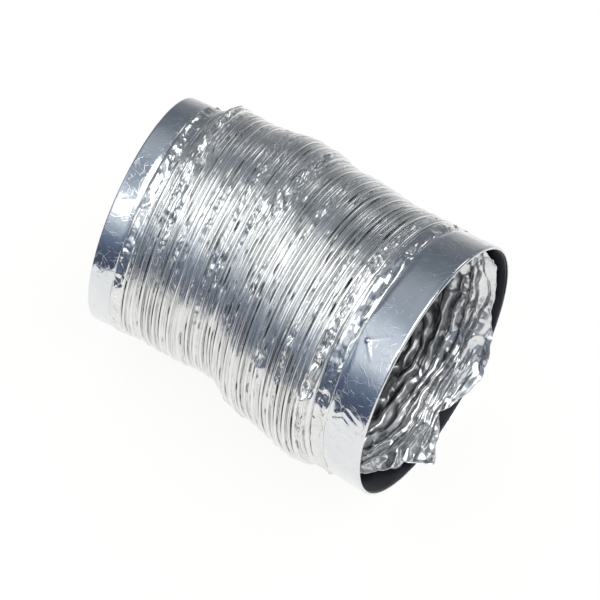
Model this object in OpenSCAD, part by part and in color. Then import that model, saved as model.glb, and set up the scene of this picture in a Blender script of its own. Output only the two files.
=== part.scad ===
// A foil air duct pushed together to its stored length, with a taped collar at each end.
// +X runs along the front collar's axis and out of its mouth, +Z is up, and the duct lies on
// the plane z = -collar_r. The origin is the centre of the front collar's mouth.

/* [Collars] */
// Bore of a collar, which slides over a 100 mm spigot
bore_d = 100.4; // [80:0.2:160]
// Thickness of the foil that lines a collar
lining_t = 0.3; // [0.2:0.05:0.5]
// Wall of a black plastic collar ring
ring_wall = 0.9; // [0.7:0.1:2.5]
// Thickness of the foil tape on a collar, which is wound round it several times
tape_t = 0.5; // [0.5:0.05:0.8]
// Clearance between pieces that lie on each other
seat = 0.05; // [0.02:0.01:0.1]
// Width of the front collar
front_w = 14.5; // [10:0.5:30]
// Width of the rear collar
rear_w = 9; // [6:0.5:20]

/* [Hose] */
// Length of the duct as it is stored, along the front collar's axis from mouth to mouth
stored_length = 146.4; // [145:0.2:200]
// Number of wire turns
wire_turns = 25; // [8:1:25]
// Outside diameter of the hose over its wire turns
hose_d = 107.2; // [106:0.2:112]
// Gap between a collar's cuff and the first wire turn
end_gap = 0.5; // [0.3:0.1:0.9]
// Diameter of a wire turn: the steel wire with both foil plies bonded round it
wire_d = 1.4; // [1:0.1:1.5]
// Width of a foil fold across its crest
fold_w = 1.2; // [1:0.1:1.4]
// Depth of a foil fold, from its crest to its inner edges
fold_depth = 4.2; // [2:0.2:8]
// Thickness of the foil that a fold is made of
fold_t = 0.3; // [0.2:0.05:0.4]
// How far a fold's crest lies below the wire turns
fold_drop = 0.3; // [0:0.1:1]
// Number of ridges at each end over which the hose narrows towards its collar
taper_ridges = 4; // [1:1:8]

/* [Foil ends] */
// Width of the crinkled foil cuff between a collar and the first ridge
cuff_w = 5.5; // [3:0.5:8]
// Thickness of the gathered foil in a cuff and in the front mouth
cuff_t = 0.5; // [0.3:0.05:0.8]
// Gap between the front collar's wall and the loose foil in its mouth
loose_gap = 2; // [0.5:0.25:6]
// How far inside the mouth the loose foil ends
loose_recess = 5; // [4:0.5:9]
// How far each torn tongue of loose foil stands out of the mouth, small one and large one
tongue_out = [4.5, 7]; // [0:0.5:12]
// Where each tongue starts, in degrees from the top towards the far side
tongue_from = [110, 165]; // [100:1:190]
// How wide each tongue is, in degrees
tongue_span = [40, 26]; // [8:1:45]

/* [Lie of the stored duct] */
// Angle by which the rear collar is turned sideways
rest_yaw = 16; // [0:1:18]
// Angle by which the rear collar's top leans towards the front
rest_lean = 13; // [0:1:14]
// How far the rear collar's mouth lies to the side of the front collar's axis
rear_shift = 0.7; // [-4:0.1:4]
// Sideways sway of the turns, as the heights of waves with 1, 2, 3 and 6 half turns
sway = [2, -3, -1.2, -1]; // [-4:0.1:4]

/* [Hidden] */
$fn = 72;
profile_fn = 20;
bore_r = bore_d / 2;
ring_in = bore_r + lining_t + seat;
ring_out = ring_in + ring_wall;
rim_r = ring_wall / 2;
rim_mid = ring_in + rim_r;
collar_r = ring_out + seat + tape_t;
hose_r = hose_d / 2;
sway_waves = [1, 2, 3, 6];
wire_colour = [0.80, 0.81, 0.83];
fold_colour = [0.70, 0.71, 0.74];
foil_colour = [0.76, 0.77, 0.80];
tape_colour = [0.62, 0.66, 0.72];
ring_colour = [0.05, 0.05, 0.06];

// The ridges are counted from the front: wire turn k is ridge 2k - 1 and fold k is ridge 2k
ridges = 2 * wire_turns - 1;
rear_reach = rear_w + cuff_w;
rear_axis = [cos(rest_lean) * cos(rest_yaw), cos(rest_lean) * sin(rest_yaw), -sin(rest_lean)];
rear_mouth = [
    -stored_length,
    rear_shift,
    collar_r * (cos(rest_lean) - 1) - rear_axis.z * rear_reach];
hose_end = rear_mouth + rear_axis * rear_reach;
first_x = -(front_w + cuff_w + end_gap + wire_d / 2);
last_x = hose_end.x + end_gap + wire_d / 2;
ridge_pitch = (first_x - last_x) / (ridges - 1);

function two(k) = str(k < 10 ? "0" : "", k);
function along(j) = (j - 0.5) / ridges;
function ridge_r(j) =
    hose_r - (hose_r - collar_r) * max(0, 1 - min(j, ridges + 1 - j) / taper_ridges);
function sway_at(s) =
    hose_end.y * s + sway * [for (n = sway_waves) sin(180 * n * s)];
function ridge_at(j) = [
    first_x - ridge_pitch * (j - 1),
    sway_at(along(j)),
    ridge_r(j) * cos(rest_lean * along(j)) - collar_r];

// A shape of revolution whose drawing has x along the axis and y as the radius
module revolve(start = 0, sweep = 360) {
    rotate([0, -90, 0]) rotate([0, 0, start]) rotate_extrude(angle = sweep)
        rotate(-90) children();
}

module on_ridge(j) {
    translate(ridge_at(j)) rotate([0, rest_lean * along(j), rest_yaw * along(j)]) children();
}

// Places a rear piece that is drawn as a front one, with its mouth towards +X
module on_rear() {
    translate(rear_mouth) rotate([0, rest_lean, rest_yaw]) rotate([0, 0, 180]) children();
}

// One end collar: a black plastic ring with a rounded rim
module collar_ring(w) {
    revolve() union() {
        translate([-w, ring_in]) square([w, ring_wall]);
        translate([0, rim_mid]) circle(r = rim_r, $fn = profile_fn);
    }
}

// The tape round a collar, turned over its rim
module collar_tape(w) {
    revolve() {
        translate([-w, ring_out + seat]) square([w, tape_t]);
        intersection() {
            translate([0, rim_mid]) difference() {
                circle(r = rim_r + seat + tape_t, $fn = profile_fn);
                circle(r = rim_r + seat, $fn = profile_fn);
            }
            translate([0, rim_mid]) square(collar_r);
        }
    }
}

// The outline of a hose end: a cuff from the first ridge to the collar's inner end, a step down
// to the radius `throat`, and foil of thickness t that runs on through the collar up to `reach`
module foil_end_outline(w, throat, t, reach) {
    edge = -w - seat;
    polygon([
        [-w - cuff_w, collar_r], [edge, ring_out], [edge, throat + t],
        [reach, throat + t], [reach, throat],
        [edge - cuff_t, throat], [edge - cuff_t, ring_out - cuff_t],
        [-w - cuff_w, collar_r - cuff_t]]);
}

module front_ring() { color(ring_colour) collar_ring(front_w); }
module front_tape() { color(tape_colour) collar_tape(front_w); }

// The hose's raw front end, gathered into the collar and torn off in its mouth
module front_foil_end() {
    loose_r = ring_in - loose_gap;
    far = max(tongue_out);
    color(foil_colour) difference() {
        revolve() foil_end_outline(front_w, loose_r - cuff_t, cuff_t, far);
        for (i = [0, 1]) {
            past = tongue_from[i] + tongue_span[i];
            // what is torn away between this tongue and the next
            revolve(past, tongue_from[1 - i] + 360 * i - past)
                translate([-loose_recess, loose_r - 2 * cuff_t])
                    square([loose_recess + 2 * far, 3 * cuff_t]);
            // what is torn away beyond the shorter tongue
            if (tongue_out[i] < far) revolve(tongue_from[i] - 1, tongue_span[i] + 2)
                translate([tongue_out[i], loose_r - 2 * cuff_t]) square([2 * far, 3 * cuff_t]);
        }
    }
}

// One turn of the spring wire, with the foil plies bonded round it
module wire_turn(k) {
    color(wire_colour) on_ridge(2 * k - 1) revolve()
        translate([0, ridge_r(2 * k - 1) - wire_d / 2]) circle(d = wire_d, $fn = profile_fn);
}

// The free foil between two wire turns, folded into a narrow crest with two legs
module foil_fold(k) {
    crest = ridge_r(2 * k) - fold_drop - fold_w / 2;
    leg = fold_depth - fold_w / 2;
    color(fold_colour) on_ridge(2 * k) revolve() translate([0, crest]) difference() {
        union() {
            circle(d = fold_w, $fn = profile_fn);
            translate([-fold_w / 2, -leg]) square([fold_w, leg]);
        }
        circle(d = fold_w - 2 * fold_t, $fn = profile_fn);
        translate([fold_t - fold_w / 2, -2 * leg]) square([fold_w - 2 * fold_t, 2 * leg]);
    }
}

// The hose's rear end, pressed flat against the inside of its collar
module rear_foil_end() {
    color(foil_colour) on_rear() revolve() foil_end_outline(rear_w, bore_r, lining_t, 0);
}

module rear_tape() { color(tape_colour) on_rear() collar_tape(rear_w); }
module rear_ring() { color(ring_colour) on_rear() collar_ring(rear_w); }

front_ring();
front_tape();
front_foil_end();
for (k = [1:wire_turns]) wire_turn(k);
for (k = [1:wire_turns - 1]) foil_fold(k);
rear_foil_end();
rear_tape();
rear_ring();
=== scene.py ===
import math

import bmesh
import bpy
import numpy as np
from mathutils import Matrix, Vector


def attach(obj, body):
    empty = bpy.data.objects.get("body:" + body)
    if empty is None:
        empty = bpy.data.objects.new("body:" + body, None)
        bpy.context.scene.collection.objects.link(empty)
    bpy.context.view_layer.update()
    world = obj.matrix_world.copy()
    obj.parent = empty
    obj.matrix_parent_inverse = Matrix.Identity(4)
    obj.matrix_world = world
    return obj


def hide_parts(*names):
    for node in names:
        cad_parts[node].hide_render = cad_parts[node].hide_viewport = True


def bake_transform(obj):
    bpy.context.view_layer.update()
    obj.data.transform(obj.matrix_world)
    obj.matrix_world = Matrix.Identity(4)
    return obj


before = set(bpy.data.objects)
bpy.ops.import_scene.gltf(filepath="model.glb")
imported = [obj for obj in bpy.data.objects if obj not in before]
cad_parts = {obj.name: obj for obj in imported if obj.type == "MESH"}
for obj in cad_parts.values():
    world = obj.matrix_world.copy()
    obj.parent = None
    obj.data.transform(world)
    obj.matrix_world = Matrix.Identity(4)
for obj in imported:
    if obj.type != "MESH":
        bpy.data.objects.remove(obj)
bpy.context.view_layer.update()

mm = 0.001

# ---- Camera -------------------------------------------------------------------------------
# It stands in front of the duct on its -Y side, and looks down on it so that the front
# collar's mouth is nearest. The lens is a long one, as for a packshot of a small object.
camera_at = Vector((103.3, -220.4, 289.4)) * mm
camera_turn, camera_height = math.radians(37.16), math.radians(46.42)
camera_right = Vector((math.cos(camera_turn), math.sin(camera_turn), 0))
camera_back = Vector((math.sin(camera_turn) * math.cos(camera_height),
                      -math.cos(camera_turn) * math.cos(camera_height),
                      math.sin(camera_height)))
camera_up = camera_back.cross(camera_right)
camera = bpy.data.objects.new("camera", bpy.data.cameras.new("camera"))
camera.data.sensor_width = 36
camera.data.lens = 60
camera.data.clip_start = 0.01
camera.data.clip_end = 10
camera.matrix_world = (Matrix.Translation(camera_at)
                       @ Matrix((camera_right, camera_up, camera_back)).transposed().to_4x4())
bpy.context.scene.collection.objects.link(camera)
bpy.context.scene.camera = camera
bpy.context.scene.view_settings.view_transform = "Standard"


# ---- Studio -------------------------------------------------------------------------------
# A white round table in a room that is pale on the -Y side and dim grey on the other, with a
# bright patch high in front and two soft lamps. The foil shows the table and room as bands.
class Shade:
    """A shader socket: + * / and **, and a number minus a socket, add their Math nodes."""

    def __init__(self, tree, socket=None):
        self.tree, self.socket = tree, socket

    def node(self, kind, settings=None, sockets=None, output=0):
        """Adds a node: its settings first, then the values or links of its sockets."""
        node = self.tree.nodes.new("ShaderNode" + kind)
        for name, value in (settings or {}).items():
            if name == "stops":
                ramp = node.color_ramp
                while len(ramp.elements) < len(value):
                    ramp.elements.new(1)
                for element, (place, tint) in zip(ramp.elements, value):
                    element.position = place
                    element.color = (*tint, 1)
            else:
                setattr(node, name, value)
        for name, value in (sockets or {}).items():
            if isinstance(value, Shade):
                self.tree.links.new(value.socket, node.inputs[name])
            else:
                node.inputs[name].default_value = value
        return Shade(self.tree, node.outputs[output] if node.outputs else None)

    def maths(self, operation, *values):
        return self.node("Math", {"operation": operation}, dict(enumerate(values)))

    def __add__(self, other):
        return self.maths("ADD", self, other)

    def __radd__(self, other):
        return self.maths("ADD", other, self)

    def __rsub__(self, other):
        return self.maths("SUBTRACT", other, self)

    def __mul__(self, other):
        return self.maths("MULTIPLY", self, other)

    def __rmul__(self, other):
        return self.maths("MULTIPLY", other, self)

    def __truediv__(self, other):
        return self.maths("DIVIDE", self, other)

    def __pow__(self, other):
        return self.maths("POWER", self, other)


def new_material(name):
    """An empty node material and a Shade on its tree."""
    material = bpy.data.materials.new(name)
    material.use_nodes = True
    material.node_tree.nodes.clear()
    return material, Shade(material.node_tree)


def finish_with(shade, surface):
    """Links a surface to the material's output."""
    shade.node("OutputMaterial", {}, {"Surface": surface})


def ray_is(shade, kind):
    """1 for a ray of one kind, such as Camera or Glossy, and 0 for any other."""
    return shade.node("LightPath", output=f"Is {kind} Ray")


def ramped(shade, value, low, high, start=0, end=1, kind="LINEAR"):
    """A ramp from `start` where the value is `low` to `end` where it is `high`."""
    return shade.node("MapRange", {"interpolation_type": kind}, {
        "Value": value, "From Min": low, "From Max": high, "To Min": start, "To Max": end})


def mixed(shade, share, first, second):
    """The first colour, or the second where the share is 1."""
    return shade.node("Mix", {"data_type": "RGBA"}, {0: share, 6: first, 7: second}, output=2)


def toward(turn, rise):
    """The direction at `turn` degrees from +X round the Z axis and `rise` degrees up."""
    turn, rise = math.radians(turn), math.radians(rise)
    return Vector((math.cos(turn) * math.cos(rise), math.sin(turn) * math.cos(rise),
                   math.sin(rise)))


table_r, table_z = 340 * mm, -52.2 * mm
table_middle = Vector((20 * mm, -20 * mm, table_z))
bm = bmesh.new()
bmesh.ops.create_circle(bm, cap_ends=True, segments=256, radius=table_r,
                        matrix=Matrix.Translation(table_middle))
table = bpy.data.objects.new("table", bpy.data.meshes.new("table"))
bm.to_mesh(table.data)
bm.free()
bpy.context.scene.collection.objects.link(table)

table_white, shade = new_material("table_white")
seen = ray_is(shade, "Camera") + ray_is(shade, "Glossy") + ray_is(shade, "Transmission")
paint = shade.node("BsdfDiffuse", {}, {"Color": (0.9, 0.9, 0.89, 1)})
bright = shade.node("Emission", {}, {"Color": (1, 1, 0.99, 1), "Strength": 1.04})
finish_with(shade, shade.node("MixShader", {}, {0: 0.85 * seen, 1: paint, 2: bright}))
table.data.materials.append(table_white)


world = bpy.data.worlds.new("room")
bpy.context.scene.world = world
world.use_nodes = True
world.node_tree.nodes.clear()
shade = Shade(world.node_tree)
direction = shade.node("TexCoord", output="Generated")
rise = shade.node("SeparateXYZ", {}, {0: direction}, output="Z")


def nearness(shade, direction, to):
    """Cosine of the angle between the direction and a fixed one."""
    return shade.node("VectorMath", {"operation": "DOT_PRODUCT"}, {0: direction, 1: to},
                      output="Value")


def room_by_height(shade, rise, stops):
    """The room's colour from the table up, as pairs of degrees above level and colour."""
    return shade.node("ValToRGB", {"stops": [
        (0.5 + 0.5 * math.sin(math.radians(degrees)), tint) for degrees, tint in stops]},
        {0: 0.5 + 0.5 * rise})


room_left = room_by_height(shade, rise, [
    (-30, (0.10, 0.12, 0.17)), (-10, (0.07, 0.09, 0.14)), (4, (0.10, 0.13, 0.20)),
    (16, (0.18, 0.23, 0.32)), (25, (0.48, 0.55, 0.64)), (32, (0.74, 0.80, 0.88)),
    (46, (0.84, 0.89, 0.96)), (58, (0.66, 0.74, 0.83)), (67, (0.42, 0.48, 0.56)),
    (90, (0.32, 0.37, 0.44))])
room_right = room_by_height(shade, rise, [
    (-40, (0.92, 0.93, 0.93)), (-18, (0.72, 0.73, 0.74)), (-5, (0.44, 0.45, 0.47)),
    (6, (0.22, 0.24, 0.26)), (30, (0.15, 0.17, 0.20)), (50, (0.19, 0.22, 0.26)),
    (66, (0.36, 0.40, 0.45)), (90, (0.42, 0.48, 0.55))])
# The level part of the direction decides between left and right. 1.002 keeps it off zero.
level = (1.002 - rise * rise) ** 0.5
left_side = ramped(shade, nearness(shade, direction, (-0.22, -0.97, 0)) / level, 0.35, 0.80,
                   kind="SMOOTHSTEP")
room = mixed(shade, left_side, room_right, room_left)
glow = ramped(shade, nearness(shade, direction, tuple(toward(-12, 54))),
              math.cos(math.radians(32)), math.cos(math.radians(8)), kind="SMOOTHSTEP")
room = mixed(shade, glow, room, (4.2, 4.2, 4.15, 1))
seen = ray_is(shade, "Camera") + ray_is(shade, "Transmission")
room = mixed(shade, seen, room, (1, 1, 1, 1))
room = mixed(shade, ray_is(shade, "Diffuse"), room, (0.72, 0.74, 0.76, 1))
shade.node("OutputWorld", {}, {"Surface": shade.node("Background", {}, {"Color": room})})


def soft_lamp(name, turn, rise, away, side, power):
    """A square lamp `away` metres from the duct's middle, which it faces, of a side in metres."""
    duct_middle = Vector((-70 * mm, 0, 0))
    lamp = bpy.data.objects.new(name, bpy.data.lights.new(name, "AREA"))
    lamp.data.shape = "SQUARE"
    lamp.data.size = side
    lamp.data.energy = power
    lamp.location = duct_middle + toward(turn, rise) * away
    lamp.rotation_euler = toward(turn, rise).to_track_quat("Z", "Y").to_euler()
    bpy.context.scene.collection.objects.link(lamp)


soft_lamp("lamp_left", -86, 46, 1.2, 0.36, 0.7)
soft_lamp("lamp_behind", 70, 33, 1.5, 0.5, 1.3)


# ---- Collar rings -------------------------------------------------------------------------
# Two plain rings of black plastic with a rounded rim, as the solids have them. The tape hides
# their outsides, so what shows is the front one's inside, past the loose foil in its mouth.
def noise(shade, place, scale, detail, output=0):
    """Noise of `scale` swells to a unit of `place`, with finer ones for more detail."""
    return shade.node("TexNoise", {}, {"Vector": place, "Scale": scale, "Detail": detail}, output)


black_plastic, shade = new_material("black_plastic")
place = shade.node("TexCoord", output="Object")
grain = noise(shade, place, 900, 3)
wear = noise(shade, place, 60, 4)
body = shade.node("BsdfPrincipled", {}, {
    "Base Color": shade.node("ValToRGB", {"stops": [(0.3, (0.012, 0.013, 0.018)),
                                                    (0.7, (0.028, 0.030, 0.038))]}, {0: wear}),
    "Roughness": 0.38 + 0.12 * wear,
    "Normal": shade.node("Bump", {}, {"Strength": 0.15, "Distance": 0.1 * mm, "Height": grain})})
finish_with(shade, body)
for name in ("front_ring", "rear_ring"):
    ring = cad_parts[name]
    ring.data.materials.clear()
    ring.data.materials.append(black_plastic)


# ---- Foil tapes ---------------------------------------------------------------------------
# Each collar is wound with bright aluminium tape, stuck down over the ring and turned over
# its rim. It is smooth, with hair-fine scratches, and creased where it was pressed on.
collar_r, tape_t, rim_arc = 52.0, 0.5, 1.0
front_w, rear_w, cuff_w = 14.5, 9.0, 5.5
stored_length, rear_shift = 146.4, 0.7
rest_yaw, rest_lean = 16.0, 13.0
rear_axis = np.array([
    math.cos(math.radians(rest_lean)) * math.cos(math.radians(rest_yaw)),
    math.cos(math.radians(rest_lean)) * math.sin(math.radians(rest_yaw)),
    -math.sin(math.radians(rest_lean))])
rear_rise = collar_r * (math.cos(math.radians(rest_lean)) - 1) - rear_axis[2] * (rear_w + cuff_w)
rear_mouth = np.array([-stored_length, rear_shift, round(rear_rise, 3)])
noise_length = 64


def spun(outline, steps):
    """A closed outline of (x, radius) points in mm, turned a full circle round the X axis."""
    bm = bmesh.new()
    points = [bm.verts.new((x, 0, r)) for x, r in outline]
    edges = [bm.edges.new(pair) for pair in zip(points, points[1:] + points[:1])]
    bmesh.ops.spin(bm, geom=points + edges, cent=(0, 0, 0), axis=(1, 0, 0),
                   angle=2 * math.pi, steps=steps, use_merge=True)
    bmesh.ops.recalc_face_normals(bm, faces=bm.faces)
    mesh = bpy.data.meshes.new("spun")
    bm.to_mesh(mesh)
    bm.free()
    return mesh


def places_of(mesh):
    """A spun mesh's points as arrays: place along the axis, radius and turn from +Y in 0..1."""
    spots = np.zeros(len(mesh.vertices) * 3)
    mesh.vertices.foreach_get("co", spots)
    x, y, z = spots.reshape(-1, 3).T
    return x, np.hypot(y, z), np.arctan2(z, y) / (2 * math.pi) % 1


def piece(name, mesh, points, material, run=None):
    """Moves the mesh's points, given in mm, and makes an object of it with smooth faces.
    `run` gives each point three values that its foil_material reads."""
    mesh.vertices.foreach_set("co", (points * mm).astype(np.float32).ravel())
    mesh.update()
    mesh.name = name
    mesh.polygons.foreach_set("use_smooth", np.ones(len(mesh.polygons), bool))
    if run is not None:
        mesh.attributes.new("run", "FLOAT_VECTOR", "POINT").data.foreach_set(
            "vector", run.astype(np.float32).ravel())
    made = bpy.data.objects.new(name, mesh)
    mesh.materials.append(material)
    bpy.context.scene.collection.objects.link(made)
    return made


def noise_table(around, seed):
    """Random heights from -1 to 1 for `around` places round a sleeve and 64 along it."""
    return np.random.default_rng(seed).random((around, noise_length)) * 2 - 1


def waves(turn, along, around, step, seed):
    """Smooth noise from -1 to 1 on a sleeve: `around` swells to a turn, `step` apart along it."""
    table = noise_table(around, seed)
    a, b = turn * around, along / step
    i, k = np.floor(a).astype(int), np.floor(b).astype(int)
    s, t = a - i, b - k
    s, t = s * s * (3 - 2 * s), t * t * (3 - 2 * t)

    def corner(di, dk):
        return table[(i + di) % around, (k + dk) % noise_length]
    return ((corner(0, 0) * (1 - s) + corner(1, 0) * s) * (1 - t)
            + (corner(0, 1) * (1 - s) + corner(1, 1) * s) * t)


def facets(turn, along, around, step, seed):
    """Crumpled-sheet relief from -1 to 1: flat three-cornered facets that meet in creases.
    Their corners are moved by up to `uneven` of a facet, so that no two are alike."""
    table, uneven = noise_table(around, seed), 0.45
    a = turn * around + uneven * waves(turn, along, around, 0.7 * step, seed + 500)
    b = along / step + uneven * waves(turn, along, around, 0.8 * step, seed + 501)
    i, k = np.floor(a).astype(int), np.floor(b).astype(int)
    s, t = a - i, b - k
    i, k, i_next, k_next = i % around, k % noise_length, (i + 1) % around, (k + 1) % noise_length
    near, far, beside, above = table[i, k], table[i_next, k_next], table[i_next, k], table[i, k_next]
    return np.where(s + t < 1, near * (1 - s - t) + beside * s + above * t,
                    far * (s + t - 1) + beside * (1 - t) + above * (1 - s))


def creases(x, turn, lines, width):
    """The relief of pressed-in creases: each line runs between two (degrees, x) points and
    has a height in mm at its start, of which a quarter is left at its end."""
    relief = np.zeros_like(x)
    arc = np.degrees(turn * 2 * math.pi)
    for (a0, x0), (a1, x1), height in lines:
        du, dv = (a1 - a0) * collar_r * math.pi / 180, x1 - x0
        u = ((arc - a0 + 180) % 360 - 180) * collar_r * math.pi / 180
        v = x - x0
        share = np.clip((u * du + v * dv) / (du * du + dv * dv), 0, 1)
        off = np.hypot(u - share * du, v - share * dv)
        relief += height * (1 - 0.75 * share) * np.exp(-(off / width) ** 2)
    return relief


def on_rear(points):
    """Places a piece that is drawn at the front collar, mouth towards +X, at the rear one."""
    turned = Matrix.Rotation(math.radians(rest_yaw), 3, "Z") @ Matrix.Rotation(
        math.radians(rest_lean), 3, "Y") @ Matrix.Rotation(math.pi, 3, "Z")
    return points @ np.array(turned).T + rear_mouth


def sleeve(x, r, turn):
    """Points in mm from place along the axis, radius and turn."""
    angle = turn * 2 * math.pi
    return np.column_stack((x, r * np.cos(angle), r * np.sin(angle)))


def tape(name, body, node, width, lines, seed):
    """The tape round a collar: its width in mm, its creases and the seed of its unevenness."""
    row_gap, steps = 0.5, 720
    under_r = collar_r - tape_t + 0.02
    rim_mid = collar_r - rim_arc
    arc_inside = (under_r - rim_mid) / rim_arc
    # the outline: the face outside, the lip over the rim and back, and the face on the ring
    lip = [(rim_arc * math.sin(a), rim_mid + rim_arc * math.cos(a))
           for a in np.linspace(0, math.pi / 2, 7)[1:]]
    inside = [(x * arc_inside, rim_mid + (r - rim_mid) * arc_inside) for x, r in reversed(lip)]
    straight = [(x, collar_r) for x in np.linspace(-width, 0, round(width / row_gap) + 1)]
    mesh = spun(straight + lip + inside + [(0, under_r), (-width, under_r)], steps)
    x, r, turn = places_of(mesh)
    # the outer face is uneven up to 1.5 mm from the rim, and its far edge is pressed down
    outer = np.clip((r - collar_r + 0.2) / 0.2, 0, 1) * np.clip(-x / 1.5, 0, 1)
    droop = np.clip((-x - width + 1.9 + 1.1 * waves(turn, x * 0, 23, 1, seed + 4)) / 1.6, 0, 1)
    r = r + outer * (creases(x, turn, lines, 0.55) - 0.36 * droop ** 1.5
                     + 0.05 * waves(turn, x, 18, 7, seed) + 0.022 * waves(turn, x, 60, 3, seed + 1)
                     + 0.02 * facets(turn, x, 50, 5, seed + 5))
    # the far edge isn't cut quite straight
    edge = np.clip((-x - width + 3) / 3, 0, 1)
    x = x + edge * (0.25 * waves(turn, x * 0, 14, 1, seed + 2)
                    + 0.12 * waves(turn, x * 0, 60, 1, seed + 3))
    points = sleeve(x, r, turn)
    made = piece(name, mesh, on_rear(points) if body == "rear_collar" else points, foil_tape)
    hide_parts(node)
    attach(made, body)


foil_tape, shade = new_material("foil_tape")
place = shade.node("TexCoord", output="Object")
swirl = noise(shade, place, 55, 3)
mottle = noise(shade, place, 420, 2)
# three layers of scratches: the edges between a bent pattern's cells, broken up by noise
scratches = 0
for drift_scale, drift, scale in ((70, 0.020, 95), (120, 0.010, 150), (40, 0.030, 210)):
    bent = shade.node("VectorMath", {"operation": "MULTIPLY_ADD"}, {
        0: noise(shade, place, drift_scale, 1, "Color"), 1: (drift,) * 3, 2: place})
    off = shade.node("TexVoronoi", {"feature": "DISTANCE_TO_EDGE"},
                     {"Vector": bent, "Scale": scale})
    broken = noise(shade, place, scale * 1.7, 1)
    scratches = scratches + (ramped(shade, off, 0.008, 0.022, start=1, end=0)
                             * ramped(shade, broken, 0.44, 0.57))
body = shade.node("BsdfPrincipled", {}, {
    "Base Color": shade.node("ValToRGB", {"stops": [(0.35, (0.73, 0.745, 0.765)),
                                                    (0.65, (0.79, 0.80, 0.81))]}, {0: swirl}),
    "Metallic": 1.0,
    "Roughness": 0.04 + 0.06 * swirl + 0.07 * mottle + 0.20 * scratches,
    "Normal": shade.node("Bump", {}, {"Strength": 1.0, "Distance": 0.05 * mm,
                                      "Height": 1.1 * swirl + 0.35 * mottle + 0.35 * scratches})})
finish_with(shade, body)

tape("front_foil_tape", "front_collar", "front_tape", front_w, [
    ((129, -10.9), (123.9, -4.3), 0.26), ((129, -10.9), (135, -6.6), 0.28),
    ((129, -10.9), (125.7, -14.5), 0.18), ((129, -10.9), (131.5, -13.5), 0.16),
    ((160.5, -11.5), (157, -7.7), 0.20), ((157, -7.7), (160.3, -2.2), -0.18),
    ((163.5, -12), (160.5, -7.6), 0.18), ((160.5, -7.6), (163.5, -3.0), -0.15),
    ((166.5, -11.5), (164, -7.5), 0.16), ((164, -7.5), (166.5, -4.0), -0.14),
    ((152, -12.5), (156, -9), 0.09), ((148, -5), (151, -2.5), 0.07),
    ((70, -9), (73, -3), 0.05), ((20, -12), (28, -6), 0.10), ((-30, -10), (-36, -3), 0.10),
    ((-90, -12), (-84, -6), 0.10), ((-140, -11), (-133, -5), 0.10), ((200, -10), (206, -4), 0.08)],
    11)
tape("rear_foil_tape", "rear_collar", "rear_tape", rear_w, [
    ((69, -1), (70.5, -7), 0.10), ((48, -2), (51, -7), 0.10), ((60, -5), (52, -6), 0.06),
    ((-10, -7), (-3, -2), 0.10), ((120, -6), (128, -2), 0.08), ((180, -6), (186, -2), 0.09),
    ((-70, -7), (-62, -2), 0.10), ((12, -6), (16, -1), 0.08)], 21)


# ---- Hose ---------------------------------------------------------------------------------
# Two plies of thin aluminium foil with a spring wire sealed between them. Pushed together,
# the foil between two turns of wire stands up in one crumpled fold, and hangs in on both
# sides of it, so wires and folds take turns. Each ridge here runs on to the next one.
wire_turns, ridges = 25, 49
hose_r, end_gap, wire_d = 53.6, 0.5, 1.4
taper_ridges = 4
hose_end = rear_mouth + rear_axis * (rear_w + cuff_w)
first_x = -(front_w + cuff_w + end_gap + wire_d / 2)
# Sideways waves of the whole hose, each of a height in mm and a number of half turns
sway_waves = ((2, 1), (-3, 2), (-1.2, 3), (-1, 6))
ridge_pitch = (first_x - (hose_end[0] + end_gap + wire_d / 2)) / (ridges - 1)


def ridge_r(j):
    """Radius of the hose over ridge j: it narrows over the last ridges at each end."""
    return hose_r - (hose_r - collar_r) * np.clip(
        1 - np.minimum(j, ridges + 1 - j) / taper_ridges, 0, 1)


def hose_frame(j):
    """Centre of the hose at ridge j, and its axis, sideways and upward directions."""
    s = (np.asarray(j, float) - 0.5) / ridges
    yaw, lean = np.radians(rest_yaw * s), np.radians(rest_lean * s)
    axis = np.stack((np.cos(lean) * np.cos(yaw), np.cos(lean) * np.sin(yaw), -np.sin(lean)), -1)
    side = np.stack((-np.sin(yaw), np.cos(yaw), 0 * yaw), -1)
    sway = sum(height * np.sin(math.pi * n * s) for height, n in sway_waves)
    centre = np.stack((first_x - ridge_pitch * (j - 1), hose_end[1] * s + sway,
                       ridge_r(j) * np.cos(lean) - collar_r), -1)
    return centre, axis, side, np.cross(axis, side)


def above_table(points):
    """Lays points that would be in the table, in mm, just over it."""
    points[:, 2] = np.maximum(points[:, 2], 0.1 - collar_r)
    return points


def laid(j, r, turn):
    """Points of the hose at ridge number j, radius r and turn."""
    centre, _, side, up = hose_frame(j)
    angle = turn[:, None] * 2 * math.pi
    return above_table(centre + r[:, None] * (np.cos(angle) * side + np.sin(angle) * up))


# Rows of a ridge's outline: mm behind the ridge's middle, height over its crest, mm of foil
# from the last turn of wire, and how far the row takes part in the crumpling
wire_outer = [
    (-0.86, -1.70, -2.4, 0.5), (-0.79, -1.10, -1.8, 0.2), (-0.70, -0.55, -1.2, 0.1),
    (-0.52, -0.20, -0.8, 0.1), (-0.27, -0.05, -0.4, 0.1), (0.00, 0.00, 0.0, 0.1),
    (0.27, -0.05, 0.4, 0.1), (0.52, -0.20, 0.8, 0.1), (0.70, -0.55, 1.2, 0.1),
    (0.79, -1.10, 1.8, 0.2), (0.87, -1.90, 3.0, 0.5), (0.95, -2.80, 4.5, 0.8),
    (1.05, -3.60, 6.0, 1.0), (1.14, -4.10, 7.5, 1.0), (1.22, -4.20, 9.0, 1.0),
    (1.30, -4.10, 10.5, 1.0), (1.38, -3.60, 12.0, 1.0), (1.44, -2.80, 13.0, 0.9),
    (1.50, -1.90, 14.0, 0.9), (1.56, -1.20, 14.8, 0.9), (1.66, -0.75, 15.4, 1.0),
    (1.82, -0.52, 15.9, 1.0), (1.98, -0.42, 16.2, 1.0)]
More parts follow.
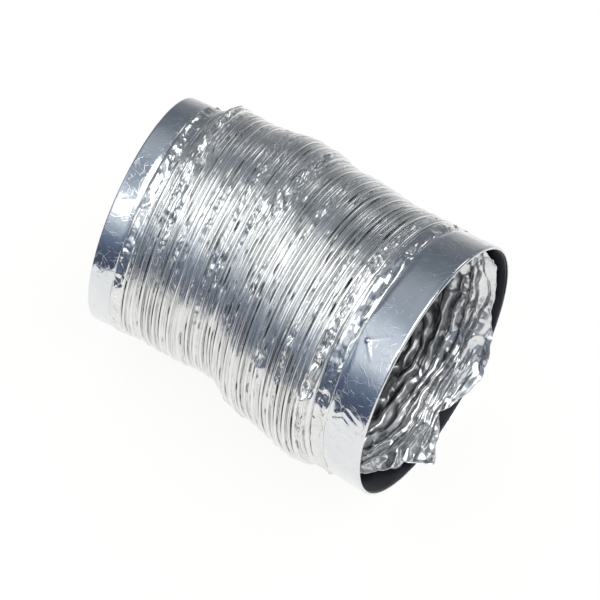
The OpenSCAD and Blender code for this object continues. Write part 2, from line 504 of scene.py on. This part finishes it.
wire_inner = [
    (1.98, -0.60, 16.2, 1.0), (1.74, -1.30, 15.4, 1.0), (1.60, -2.60, 13.2, 1.0),
    (1.46, -3.90, 12.0, 1.0), (1.22, -4.42, 9.0, 1.0), (0.94, -3.90, 6.0, 1.0),
    (0.76, -2.90, 4.5, 0.8), (0.55, -1.75, 3.0, 0.4), (0.00, -1.50, 0.0, 0.2),
    (-0.55, -1.62, -2.0, 0.4)]
fold_outer = [
    (-0.32, -0.42, 16.2, 1.0), (-0.14, -0.34, 16.5, 1.0), (0.04, -0.31, 16.8, 1.0),
    (0.22, -0.34, 17.1, 1.0), (0.42, -0.46, 17.5, 1.0), (0.56, -0.75, 18.0, 1.0),
    (0.63, -1.30, 18.8, 0.9), (0.67, -2.10, 20.0, 0.9), (0.71, -3.00, 22.0, 1.0),
    (0.78, -3.70, 24.0, 1.0), (0.86, -4.05, 26.5, 1.0), (0.94, -4.10, 29.0, 1.0),
    (1.02, -4.00, 31.5, 1.0), (1.10, -3.60, 34.0, 1.0), (1.18, -2.90, 36.0, 0.8),
    (1.30, -2.20, 37.5, 0.6), (1.44, -1.70, 38.6, 0.5)]
fold_inner = [
    (1.62, -1.85, 38.6, 0.5), (1.42, -2.95, 36.0, 0.8), (1.24, -3.95, 33.0, 1.0),
    (0.96, -4.35, 29.0, 1.0), (0.66, -3.85, 25.0, 1.0), (0.54, -2.60, 20.0, 1.0),
    (0.46, -1.30, 18.8, 1.0), (0.16, -0.60, 17.0, 1.0), (-0.20, -0.58, 16.4, 1.0)]
# Length of foil from one turn of wire to the next
foil_per_turn = 41.0


def hose_ring(outer, inner):
    """The spun ring of one ridge, and for each of its points the row it came from."""
    spun_r, steps = 50, 520
    rows = np.array([(*row, 0) for row in outer] + [(*row, 1) for row in inner])
    mesh = spun([(-row[0], spun_r + row[1]) for row in rows], steps)
    x, r, turn = places_of(mesh)
    row = np.argmin((x[:, None] + rows[:, 0]) ** 2 + (r[:, None] - spun_r - rows[:, 1]) ** 2, axis=1)
    return mesh, rows[row], turn


def spots(turn, ridge, places):
    """A mask of soft spots, each given as ridge, degrees, reach in ridges and in degrees, share."""
    arc = turn * 360
    return np.clip(sum(share * np.exp(-((ridge - at) / wide) ** 2
                                      - (((arc - degrees + 180) % 360 - 180) / reach) ** 4)
                       for at, degrees, wide, reach, share in places), 0, 1.5)


# Where folds have been crushed flat, pulled smooth, or stand out in a lump: ridge, degrees
# from the +Y side over the top, reach in ridges and in degrees, and share or height in mm
crushed_at = [(24, 90, 1.6, 27, 1.0), (27.8, 113, 1.2, 14, 0.9), (32, 104, 1.0, 12, 0.8),
              (2, 146, 1.1, 40, 1.0), (2, 100, 0.9, 10, 0.8), (46, 90, 1.6, 42, 0.9),
              (44, 128, 1.0, 22, 0.7), (36, 121, 0.9, 12, 0.6), (16, 101, 0.9, 9, 0.5),
              (8, 146, 0.9, 13, 0.6), (13, 158, 0.9, 9, 0.6), (5.5, 118, 0.8, 12, 0.6),
              (20, 131, 0.9, 9, 0.6), (40, 140, 0.9, 10, 0.6), (30, 140, 0.9, 8, 0.6)]
smooth_at = [(27, 158, 1.6, 8, 1.0), (19, 168, 1.4, 9, 1.0), (35, 165, 1.2, 9, 0.8),
             (10, 172, 1.0, 8, 0.6)]
lumps_at = [(46.3, 62, 1.5, 42, 1.5), (42, 58, 1.0, 26, 0.9), (24, 60, 1.8, 32, 1.4),
            (16, 56, 1.5, 25, 0.8), (20, 58, 1.0, 22, 0.5), (30, 185, 2.0, 20, 0.5)]


def ridge_points(j, back, height, foil, part, inner, turn):
    """Lays outline rows of ridge j on the hose, with the wander, swells and crumples of foil.
    Its neighbours' edge rows get the same points, so that the foil runs on without a gap."""
    ridge = j + back / ridge_pitch
    along = np.where(inner > 0, foil + foil_per_turn * ((j + 1) // 2), ridge * ridge_pitch)
    # 1 over a fold and 0 over a turn of wire
    fold = 0.5 + 0.5 * np.cos(math.pi * ridge)
    # how far the foil is crushed, at its spots and here and there, and how far it is smooth
    spot = spots(turn, ridge, crushed_at)
    crushed = np.clip(spot + np.clip(1.8 * waves(turn, ridge, 9, 2.1, 35) - 0.9, 0, 0.7), 0, 1)
    soft = np.maximum(np.clip((part - 0.1) / 0.9, 0, 1), spot ** 2)
    merged = np.clip(2.0 * waves(turn, ridge, 8, 1.5, 45) - 1.0, 0, 0.75)
    smooth = np.maximum(spots(turn, ridge, smooth_at), merged * (1 - crushed))
    # the share of a groove's depth that is open, which is less behind the front third
    pocket = np.clip(3.2 * waves(turn, ridge, 64, 0.8, 42) - 1.2, 0, 1)
    slack = np.clip(0.5 + 0.8 * waves(turn, ridge, 14, 0.6, 44), 0, 1)
    further_back = np.clip((ridge - 17) / 4, 0, 1)
    open_to = (0.12 + 0.42 * slack + 0.42 * pocket) * (1.08 - 0.26 * further_back)
    outside = np.where(height < -0.5, -0.5 + (height + 0.5) * open_to, height)
    outside = outside * (1 - 0.7 * crushed * soft) * (1 - 0.85 * smooth) - 0.12 * smooth
    inside = np.where(height < -0.9, -0.9 + (height + 0.9) * np.minimum(1, open_to + 0.12), height)
    relief = np.where(inner > 0, inside * (1 - 0.3 * crushed), outside)
    # a ridge strays along the hose by less than the margin of the blends at its edges
    most = 0.40
    wander = np.clip((0.36 * waves(turn, ridge, 5, 3.1, 31) + 0.38 * waves(turn, ridge, 8, 1, 32))
                     * (1 + 0.3 * fold), -most, most)
    swell = (0.40 * waves(turn, ridge, 5, 4.2, 33) + 0.30 * waves(turn, ridge, 11, 2.3, 34)
             + 0.16 * waves(turn, ridge, 13, 1, 43) + spots(turn, ridge, lumps_at)
             + 0.35 * spot)
    crumple = (facets(turn, along, 110, 3.0, 36) * (0.05 + 0.9 * crushed + 1.3 * spot)
               + facets(turn, along, 180, 1.5, 37) * (0.02 + 0.30 * crushed)) * (1 - smooth)
    sunk = fold * (0.10 + 0.28 * waves(turn, ridge, 16, 1, 40)) * (1 - smooth)
    inward = inner * 0.8 * waves(turn, ridge, 30, 0.9, 41)
    r = ridge_r(ridge) + relief + swell + soft * crumple - sunk + inward
    points = laid(ridge + wander / ridge_pitch, r, turn)
    angle = turn * 2 * math.pi
    return points, np.column_stack((along, hose_r * np.cos(angle), hose_r * np.sin(angle)))


def foil_blend(made, body_a, body_b, j, back_from, back_to):
    """Bakes the ridge's place into its mesh. The two bodies are not used, and the ends of the
    stretch of mm behind ridge j are worked out but not used.
    """
    centre, axis, _, _ = hose_frame(j)
    start, end = centre - axis * back_from, centre - axis * back_to
    tuple(start * mm)
    tuple(end * mm)
    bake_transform(made)


def foil_material(name, dull, bright, roughness, streak, facet, cell_scale, patchy, painted_inner_shade=0):
    """Bright foil: streaks along the ridges (mm high), small flat facets (share of tilt), and
    a share of painted shade that darkens and roughens it from 14 to 28 mm inside the mouth,
    with more painted shade darkening the slits there.
    The `run` attribute holds mm along the unrolled foil and the place round the hose, and on
    the mouth's foil mm along the collar's axis, a mask of the slits' painted shade and the turn."""
    material, shade = new_material(name)
    place = shade.node("TexCoord", output="Object")
    cloud = noise(shade, place, 90, 3)
    # flat facets: round each cell's middle, the height is a slope of a random direction
    scaled = shade.node("VectorMath", {"operation": "SCALE"}, {0: place, "Scale": cell_scale})
    warped = shade.node("VectorMath", {"operation": "ADD"},
                        {0: scaled, 1: noise(shade, place, 400, 1, "Color")})
    cell = shade.node("TexVoronoi", {}, {"Vector": warped, "Scale": 1}, output="Position")
    tint = shade.node("TexVoronoi", {}, {"Vector": warped, "Scale": 1}, output="Color")
    off = shade.node("VectorMath", {"operation": "SUBTRACT"}, {0: warped, 1: cell})
    lean = shade.node("VectorMath", {"operation": "SUBTRACT"}, {0: tint, 1: (0.5, 0.5, 0.5)})
    tilt = shade.node("VectorMath", {"operation": "DOT_PRODUCT"}, {0: off, 1: lean}, output="Value")
    if patchy:
        tilt = tilt * ramped(shade, noise(shade, place, 130, 1), 0.48, 0.62, start=0.10)
    relief = facet * tilt
    run = shade.node("Attribute", {"attribute_name": "run"}, output="Vector")
    if streak:
        # two noises, drawn out round the hose: swells per mm along it and round it, and share
        for across, along, share in ((0.8, 0.018, 1.0), (2.2, 0.022, 0.15)):
            stretched = shade.node("VectorMath", {"operation": "MULTIPLY"},
                                   {0: run, 1: (across, along, along)})
            relief = relief + streak * share * noise(shade, stretched, 1, 1)
    colour = shade.node("ValToRGB", {"stops": [(0.3, dull), (0.7, bright)]}, {0: cloud})
    gloss = roughness + 0.08 * cloud
    # painted shade: the colour darkens deeper inside the mouth and in the slits between pleats
    if painted_inner_shade:
        x = shade.node("SeparateXYZ", {}, {0: run}, output="X")
        slit_shade = shade.node("SeparateXYZ", {}, {0: run}, output="Y")
        inner_shade_share = ramped(shade, x, -14, -28, end=painted_inner_shade)
        colour = shade.node("VectorMath", {"operation": "SCALE"},
                            {0: colour, "Scale": (1 - inner_shade_share) * (1 - 0.85 * slit_shade)})
        gloss = gloss + 0.3 * inner_shade_share
    body = shade.node("BsdfPrincipled", {}, {
        "Base Color": colour,
        "Metallic": 1.0,
        "Roughness": gloss,
        "Normal": shade.node("Bump", {}, {"Strength": 1.0, "Distance": mm, "Height": relief})})
    finish_with(shade, body)
    return material


hose_foil = foil_material("hose_foil", (0.72, 0.722, 0.715), (0.84, 0.842, 0.83),
                          roughness=0.19, streak=0.04, facet=0.18, cell_scale=520, patchy=True)
wire_foil = foil_material("wire_foil", (0.76, 0.762, 0.755), (0.87, 0.872, 0.86),
                          roughness=0.18, streak=0.03, facet=0.04, cell_scale=520, patchy=True)

# Stretches in mm behind a ridge's middle, given to foil_blend for each ridge
wire_seam, fold_seam = (0.85, 1.2), (0.3, 0.75)
wire_mesh, wire_rows, wire_turn_of = hose_ring(wire_outer, wire_inner)
fold_mesh, fold_rows, fold_turn_of = hose_ring(fold_outer, fold_inner)
for k in range(1, wire_turns + 1):
    number, j = f"{k:02d}", 2 * k - 1
    points, run = ridge_points(j, *wire_rows.T, wire_turn_of)
    made = piece(f"wire_ridge_{number}", wire_mesh.copy(), points, wire_foil, run)
    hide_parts(f"wire_turn_{number}")
    if k == wire_turns:
        foil_blend(made, f"wire_{number}", "rear_collar", j, *wire_seam)
        break
    foil_blend(made, f"wire_{number}", f"fold_{number}", j, *wire_seam)
    points, run = ridge_points(j + 1, *fold_rows.T, fold_turn_of)
    made = piece(f"fold_ridge_{number}", fold_mesh.copy(), points, hose_foil, run)
    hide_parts(f"foil_fold_{number}")
    foil_blend(made, f"fold_{number}", f"wire_{k + 1:02d}", j + 1, *fold_seam)


# ---- Hose ends ----------------------------------------------------------------------------
# The hose's foil runs under each collar's tape as a crumpled cuff. At the rear it is pressed
# flat inside the ring. At the front it hangs loose in the mouth, pleated and torn off ragged.
cuff_foil = foil_material("cuff_foil", (0.74, 0.742, 0.735), (0.84, 0.842, 0.83),
                          roughness=0.12, streak=0, facet=0.35, cell_scale=300, patchy=False)
# the loose foil in the mouth, whose colour gets painted shade deep inside and in its slits
torn_foil = foil_material("torn_foil", (0.68, 0.69, 0.70), (0.82, 0.825, 0.83),
                          roughness=0.22, streak=0, facet=0.16, cell_scale=260, patchy=True,
                          painted_inner_shade=0.55)


def cuff(name, j, outer, inner, body_a, body_b, seam, collar_at, node):
    """A cuff on ridge j: its rows pass from the hose's lie to the collar's over its width."""
    mesh, row, turn = hose_ring(outer, inner)
    hose_side, _ = ridge_points(j, *row.T, turn)
    back, height, foil = row.T[:3]
    share = np.clip((np.abs(back) - 2.2) / 3.5, 0, 1)[:, None]
    along = foil + foil_per_turn * ((j + 1) // 2)
    # its crumples are pressed nearly flat where it goes under the tape
    bulge = (1.15 * facets(turn, along, 80, 3.2, 51) + 0.4 * facets(turn, along, 150, 1.6, 52)
             + 0.4 * waves(turn, along, 24, 4, 53)) * np.clip((6.6 - np.abs(back)) / 1.0, 0.1, 1)
    collar_side = collar_at(back, collar_r + height + bulge, turn)
    points = above_table(hose_side * (1 - share) + collar_side * share)
    made = piece(name, mesh, points, cuff_foil)
    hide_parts(node)
    foil_blend(made, body_a, body_b, j, *seam)


# The cuffs' rows, as a ridge's: the outer face from the ridge to the tape, and the inner back
front_cuff_outer = (
    [(-0.86, -1.70, -2.4, 0.5), (-0.98, -1.20, -3.2, 0.8), (-1.15, -0.70, -4.0, 1.0),
     (-1.40, -0.25, -4.8, 1.0), (-1.75, 0.0, -5.4, 1.0)]
    + [(-b, 0.05, -b - 3.8, 1.0) for b in np.arange(2.1, 6.2, 0.35)]
    + [(-6.35, -0.05, -10.2, 1.0), (-6.60, -0.20, -10.5, 1.0), (-6.85, -0.30, -10.8, 1.0)])
front_cuff_inner = (
    [(-6.85, -0.50, -10.8, 1.0)] + [(-b, -1.2, -b - 3.8, 1.0) for b in np.arange(6.2, 2.0, -0.7)]
    + [(-1.50, -1.5, -4.8, 1.0), (-1.20, -2.0, -4.0, 1.0), (-1.02, -2.4, -2.6, 0.5)])
cuff("front_cuff", 1, front_cuff_outer, front_cuff_inner, "wire_01", "front_collar", (-1.5, -2.2),
     lambda back, r, turn: sleeve(first_x - back, r, turn), "front_foil_end")

rear_cuff_outer = (
    [(1.98, -0.42, 16.2, 1.0), (2.2, -0.35, 16.6, 1.0)]
    + [(b, 0.05, b + 14.4, 1.0) for b in np.arange(2.5, 6.2, 0.35)]
    + [(6.35, -0.05, 20.8, 1.0), (6.60, -0.20, 21.1, 1.0), (6.85, -0.30, 21.4, 1.0)])
rear_cuff_inner = (
    [(6.85, -0.50, 21.4, 1.0)] + [(b, -1.2, b + 14.4, 1.0) for b in np.arange(6.2, 2.4, -0.7)]
    + [(1.98, -0.60, 16.2, 1.0)])
# From the last ridge's middle to the rear collar's mouth
rear_x = wire_d / 2 + end_gap + rear_w + cuff_w
cuff("rear_cuff", ridges, rear_cuff_outer, rear_cuff_inner, "wire_25", "rear_collar", wire_seam,
     lambda back, r, turn: on_rear(sleeve(back - rear_x, r, 0.5 - turn)), "rear_foil_end")

# The flat foil against the rear ring, drawn as at the front: its outer and inner face
lining_out, lining_in = 50.42, 50.24
rows = np.linspace(-10.5, -0.3, 22)
lining = spun([(x, lining_out) for x in rows] + [(x, lining_in) for x in rows[::-1]], steps=480)
x, r, turn = places_of(lining)
crinkle_in = np.abs(0.16 * facets(turn, x, 90, 2.4, 61)) + 0.08 * np.abs(waves(turn, x, 40, 5, 62))
# its edge is uneven, and lies back a little from the mouth
x = x - np.clip((x + 4) / 4, 0, 1) * (0.7 + 0.5 * waves(turn, x * 0, 30, 1, 63)
                                      + 0.3 * waves(turn, x * 0, 110, 1, 64))
made = piece("rear_lining", lining, on_rear(sleeve(x, r - crinkle_in, turn)), cuff_foil)
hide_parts("rear_foil_end")
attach(made, "rear_collar")

# Where the loose foil in the mouth is torn off: degrees from the +Y side over the top, and x
edge_at = [(-180, -8.5), (-160, -8.5), (-137, -8.2), (-121, -6.7), (-112, -2.8), (-104, -2.1),
           (-99.5, 2.8), (-95, 7.0), (-90, 5.0), (-80, 1.4), (-74, -1.1), (-69.5, -3.8),
           (-67, -2.0), (-59.6, 0.3), (-52, 2.8), (-45.5, 4.4), (-34, 4.6), (-27, 2.2), (-19, 0),
           (-9, -1.6), (12, -2.4), (36, -3.6), (60, -5.5), (100, -6), (150, -7), (180, -8.5)]
mouth_from, mouth_out, mouth_in = -34.0, 49.0, 48.8
rows = np.linspace(0, 1, 84)
mouth = spun([(row, mouth_out) for row in rows] + [(row, mouth_in) for row in rows[::-1]],
             steps=560)
share, r, turn = places_of(mouth)
arc = (turn * 360 + 180) % 360 - 180
edge = (np.interp(arc, *zip(*edge_at)) + 0.5 * waves(turn, share * 0, 46, 1, 71)
        + 0.4 * facets(turn, share * 0, 130, 1, 72))
x = mouth_from + (edge - mouth_from) * share
# both from 0 to 1: over 7 mm behind the torn edge, and from 16 to 22 mm inside the mouth
behind_edge = np.clip((edge - x) / 7, 0, 1)
deep = np.clip((-16 - x) / 6, 0, 1)
# pleats round the mouth, about 4.3 mm apart, with sharp grooves between them
cycle = (x / 4.3 + 1.4 * waves(turn, x, 6, 12, 73) + 0.7 * waves(turn, x, 15, 7, 74)
         + 0.30 * facets(turn, x, 26, 5, 80))
groove = (2 * np.abs(cycle - np.round(cycle))) ** 1.7
sag = 0.8 + 0.7 * waves(turn, x, 7, 9, 75)
pleat = ((0.3 + (3.3 + 1.5 * deep) * behind_edge)
         * np.clip(0.6 + 0.6 * waves(turn, x, 21, 4.6, 79), 0.15, 1.1)
         * np.clip((1 - x) / 6, 0.25, 1))
# the foil sags inwards, is crumpled, and opens a little where it stands out of the mouth
r = (r - 0.1 - sag * (0.3 + 0.7 * behind_edge) - pleat * (1 - groove)
     + 1.4 * facets(turn, x, 40, 4.4, 76) * (0.4 + 0.6 * behind_edge)
     + 0.45 * facets(turn, x, 84, 2.6, 77) - 0.5 * np.clip(-1 - x, 0, 1)
     + np.clip(x - 0.8, 0, 8) * 0.05)
# it stays inside the collar's bore, and further in it stays clear of the hose's folds
r = np.minimum(r, 50.2) - 1.8 * np.clip((-18 - x) / 4, 0, 1)
# a mask of the slits between deep pleats, where the foil's colour gets painted shade
slit_shade = np.clip((groove - 0.45) / 0.4, 0, 1) * np.clip((-8 - x) / 5, 0, 1)
x = x + 0.8 * waves(turn, x, 50, 3, 78) * behind_edge
made = piece("mouth_foil", mouth, sleeve(x, r, turn), torn_foil,
             np.column_stack((x, slit_shade, turn)))
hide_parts("front_foil_end")
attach(made, "front_collar")
